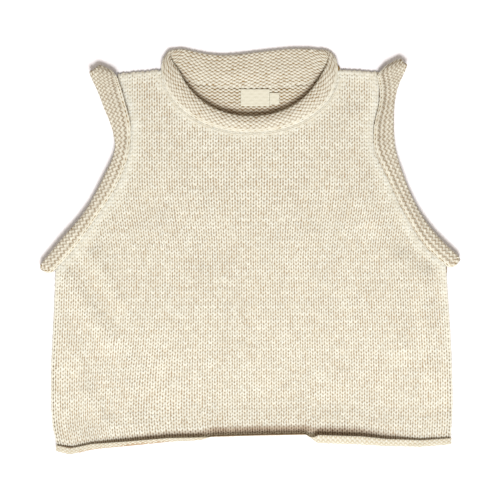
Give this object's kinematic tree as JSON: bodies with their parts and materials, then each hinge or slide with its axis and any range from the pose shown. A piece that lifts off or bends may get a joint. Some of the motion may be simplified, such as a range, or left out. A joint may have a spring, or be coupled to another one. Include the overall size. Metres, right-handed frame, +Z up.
{
  "type": "sleeveless sweater laid flat",
  "caption": "Cropped sleeveless knitted sweater laid flat, with a rolled neckband, rolled armhole bands, a rolled hem and a bare neck label.",
  "frame": {"origin": "middle of the footprint, on the surface that the sweater lies on", "axes": "+Z up out of the front of the sweater, +Y from the hem to the neck, +X to the right as seen from above"},
  "size_m": [0.5381, 0.5173, 0.0203],
  "materials": {
    "cotton_knit": "matt undyed cotton yarn, stockinette on the body and purl side out on the rolled bands",
    "woven_label": "matt woven cotton tape"
  },
  "bodies": {
    "root": {"front_panel": "cotton_knit", "back_panel": "cotton_knit", "neckband": "cotton_knit", "armhole_band_left": "cotton_knit", "armhole_band_right": "cotton_knit", "neck_label": "woven_label", "size_tab": "woven_label"}
  },
  "joints": []
}
